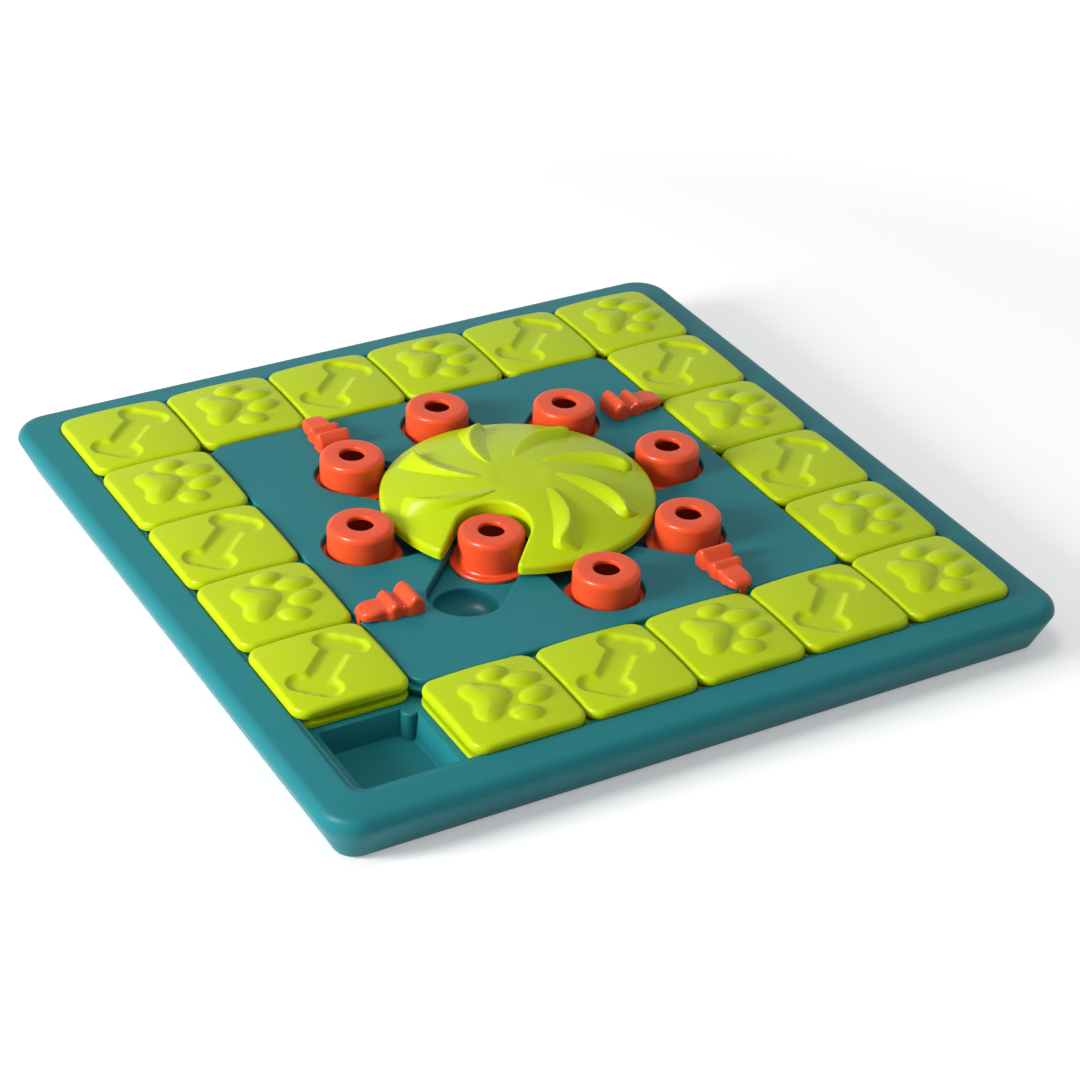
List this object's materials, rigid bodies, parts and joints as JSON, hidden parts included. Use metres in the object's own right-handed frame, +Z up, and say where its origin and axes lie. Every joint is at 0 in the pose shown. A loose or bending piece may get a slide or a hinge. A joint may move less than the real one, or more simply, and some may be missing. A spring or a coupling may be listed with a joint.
{
  "type": "dog puzzle feeder board",
  "caption": "Square treat puzzle for dogs: sliding tiles round a track over treat pockets, sliding pegs over treat wells, a notched turning wheel and slide locks.",
  "frame": {"origin": "centre of the board's outline, in the plane its feet stand on", "axes": "+X right along the front edge, +Y towards the back edge, +Z up out of the board"},
  "size_m": [0.42, 0.42, 0.05],
  "materials": {
    "teal_plastic": "satin moulded plastic",
    "lime_plastic": "satin moulded plastic",
    "red_plastic": "satin moulded plastic",
    "rubber": "matt",
    "steel": "zinc plated"
  },
  "bodies": {
    "board": {"base_tray": "teal_plastic", "well_plate": "teal_plastic", "wheel_bearing": "teal_plastic", "deck_panel": "teal_plastic", "deck_screws": "steel", "rubber_feet": "rubber", "treat_well_1": "teal_plastic", "treat_well_2": "teal_plastic", "treat_well_3": "teal_plastic", "treat_well_4": "teal_plastic", "treat_well_5": "teal_plastic", "treat_well_6": "teal_plastic", "treat_well_7": "teal_plastic", "treat_well_8": "teal_plastic"},
    "wheel": {"turning_wheel": "lime_plastic", "notch_band": "lime_plastic", "notch_rim": "lime_plastic", "wheel_spindle": "lime_plastic", "wheel_washer": "steel", "wheel_screw": "steel"},
    "peg_1_body": {"peg_1": "red_plastic", "peg_flange_1": "red_plastic"},
    "peg_2_body": {"peg_2": "red_plastic", "peg_flange_2": "red_plastic"},
    "peg_3_body": {"peg_3": "red_plastic", "peg_flange_3": "red_plastic"},
    "peg_4_body": {"peg_4": "red_plastic", "peg_flange_4": "red_plastic"},
    "peg_5_body": {"peg_5": "red_plastic", "peg_flange_5": "red_plastic"},
    "peg_6_body": {"peg_6": "red_plastic", "peg_flange_6": "red_plastic"},
    "peg_7_body": {"peg_7": "red_plastic", "peg_flange_7": "red_plastic"},
    "peg_8_body": {"peg_8": "red_plastic", "peg_flange_8": "red_plastic"},
    "lock_left_body": {"lock_left": "red_plastic"},
    "lock_front_body": {"lock_front": "red_plastic"},
    "lock_right_body": {"lock_right": "red_plastic"},
    "lock_back_body": {"lock_back": "red_plastic"},
    "tile_01_body": {"tile_01": "lime_plastic"},
    "tile_02_body": {"tile_02": "lime_plastic"},
    "tile_03_body": {"tile_03": "lime_plastic"},
    "tile_04_body": {"tile_04": "lime_plastic"},
    "tile_05_body": {"tile_05": "lime_plastic"},
    "tile_06_body": {"tile_06": "lime_plastic"},
    "tile_07_body": {"tile_07": "lime_plastic"},
    "tile_08_body": {"tile_08": "lime_plastic"},
    "tile_09_body": {"tile_09": "lime_plastic"},
    "tile_10_body": {"tile_10": "lime_plastic"},
    "tile_11_body": {"tile_11": "lime_plastic"},
    "tile_12_body": {"tile_12": "lime_plastic"},
    "tile_13_body": {"tile_13": "lime_plastic"},
    "tile_14_body": {"tile_14": "lime_plastic"},
    "tile_15_body": {"tile_15": "lime_plastic"},
    "tile_16_body": {"tile_16": "lime_plastic"},
    "tile_17_body": {"tile_17": "lime_plastic"},
    "tile_18_body": {"tile_18": "lime_plastic"},
    "tile_19_body": {"tile_19": "lime_plastic"}
  },
  "joints": [
    {"name": "wheel_turn", "type": "hinge", "parent": "board", "child": "wheel", "pos_m": [0, 0, 0.0313], "axis": [0, 0, 1], "range_deg": [-1.8, 1.8]},
    {"name": "peg_1_slide", "type": "slide", "parent": "board", "child": "peg_1_body", "axis": [1, 0, 0], "range_m": [-0.0016, 0.0023]},
    {"name": "peg_2_slide", "type": "slide", "parent": "board", "child": "peg_2_body", "axis": [0.7071, 0.7071, 0], "range_m": [-0.0016, 0.0023]},
    {"name": "peg_3_slide", "type": "slide", "parent": "board", "child": "peg_3_body", "axis": [0, 1, 0], "range_m": [-0.0016, 0.0023]},
    {"name": "peg_4_slide", "type": "slide", "parent": "board", "child": "peg_4_body", "axis": [-0.7071, 0.7071, 0], "range_m": [-0.0016, 0.0023]},
    {"name": "peg_5_slide", "type": "slide", "parent": "board", "child": "peg_5_body", "axis": [-1, 0, 0], "range_m": [-0.0016, 0.0023]},
    {"name": "peg_6_slide", "type": "slide", "parent": "board", "child": "peg_6_body", "axis": [-0.7071, -0.7071, 0], "range_m": [0, 0.044]},
    {"name": "peg_7_slide", "type": "slide", "parent": "board", "child": "peg_7_body", "axis": [0, -1, 0], "range_m": [-0.0016, 0.0023]},
    {"name": "peg_8_slide", "type": "slide", "parent": "board", "child": "peg_8_body", "axis": [0.7071, -0.7071, 0], "range_m": [-0.0016, 0.0023]},
    {"name": "lock_left_slide", "type": "slide", "parent": "board", "child": "lock_left_body", "axis": [-1, 0, 0], "range_m": [0, 0.0033]},
    {"name": "lock_front_slide", "type": "slide", "parent": "board", "child": "lock_front_body", "axis": [0, -1, 0], "range_m": [0, 0.0033]},
    {"name": "lock_right_slide", "type": "slide", "parent": "board", "child": "lock_right_body", "axis": [1, 0, 0], "range_m": [0, 0.0033]},
    {"name": "lock_back_slide", "type": "slide", "parent": "board", "child": "lock_back_body", "axis": [0, 1, 0], "range_m": [0, 0.0033]},
    {"name": "tile_01_slide", "type": "slide", "parent": "board", "child": "tile_01_body", "axis": [-1, 0, 0], "range_m": [0, 0.063]},
    {"name": "tile_02_slide", "type": "slide", "parent": "board", "child": "tile_02_body", "axis": [-1, 0, 0], "range_m": [0, 0.063]},
    {"name": "tile_03_slide", "type": "slide", "parent": "board", "child": "tile_03_body", "axis": [-1, 0, 0], "range_m": [0, 0.063]},
    {"name": "tile_04_slide", "type": "slide", "parent": "board", "child": "tile_04_body", "axis": [-1, 0, 0], "range_m": [0, 0.063]},
    {"name": "tile_05_slide", "type": "slide", "parent": "board", "child": "tile_05_body", "axis": [-1, 0, 0], "range_m": [0, 0.063]},
    {"name": "tile_06_slide", "type": "slide", "parent": "board", "child": "tile_06_body", "axis": [0, -1, 0], "range_m": [0, 0.0003]},
    {"name": "tile_07_slide", "type": "slide", "parent": "board", "child": "tile_07_body", "axis": [0, -1, 0], "range_m": [0, 0.0003]},
    {"name": "tile_08_slide", "type": "slide", "parent": "board", "child": "tile_08_body", "axis": [0, -1, 0], "range_m": [0, 0.0003]},
    {"name": "tile_09_slide", "type": "slide", "parent": "board", "child": "tile_09_body", "axis": [0, -1, 0], "range_m": [0, 0.0003]},
    {"name": "tile_10_slide", "type": "slide", "parent": "board", "child": "tile_10_body", "axis": [0, -1, 0], "range_m": [0, 0.0003]},
    {"name": "tile_11_slide", "type": "slide", "parent": "board", "child": "tile_11_body", "axis": [1, 0, 0], "range_m": [-0.0003, 0.0003]},
    {"name": "tile_12_slide", "type": "slide", "parent": "board", "child": "tile_12_body", "axis": [1, 0, 0], "range_m": [-0.0003, 0.0003]},
    {"name": "tile_13_slide", "type": "slide", "parent": "board", "child": "tile_13_body", "axis": [1, 0, 0], "range_m": [-0.0003, 0.0003]},
    {"name": "tile_14_slide", "type": "slide", "parent": "board", "child": "tile_14_body", "axis": [1, 0, 0], "range_m": [-0.0003, 0.0003]},
    {"name": "tile_15_slide", "type": "slide", "parent": "board", "child": "tile_15_body", "axis": [0, 1, 0], "range_m": [-0.063, 0]},
    {"name": "tile_16_slide", "type": "slide", "parent": "board", "child": "tile_16_body", "axis": [0, 1, 0], "range_m": [-0.063, 0]},
    {"name": "tile_17_slide", "type": "slide", "parent": "board", "child": "tile_17_body", "axis": [0, 1, 0], "range_m": [-0.063, 0]},
    {"name": "tile_18_slide", "type": "slide", "parent": "board", "child": "tile_18_body", "axis": [0, 1, 0], "range_m": [-0.063, 0]},
    {"name": "tile_19_slide", "type": "slide", "parent": "board", "child": "tile_19_body", "axis": [0, 1, 0], "range_m": [-0.063, 0]}
  ],
  "couplings": [
    {"joint": "tile_01_slide", "follows": "tile_05_slide", "ratio": 1},
    {"joint": "tile_02_slide", "follows": "tile_05_slide", "ratio": 1},
    {"joint": "tile_03_slide", "follows": "tile_05_slide", "ratio": 1},
    {"joint": "tile_04_slide", "follows": "tile_05_slide", "ratio": 1},
    {"joint": "tile_16_slide", "follows": "tile_15_slide", "ratio": 1},
    {"joint": "tile_17_slide", "follows": "tile_15_slide", "ratio": 1},
    {"joint": "tile_18_slide", "follows": "tile_15_slide", "ratio": 1},
    {"joint": "tile_19_slide", "follows": "tile_15_slide", "ratio": 1}
  ]
}
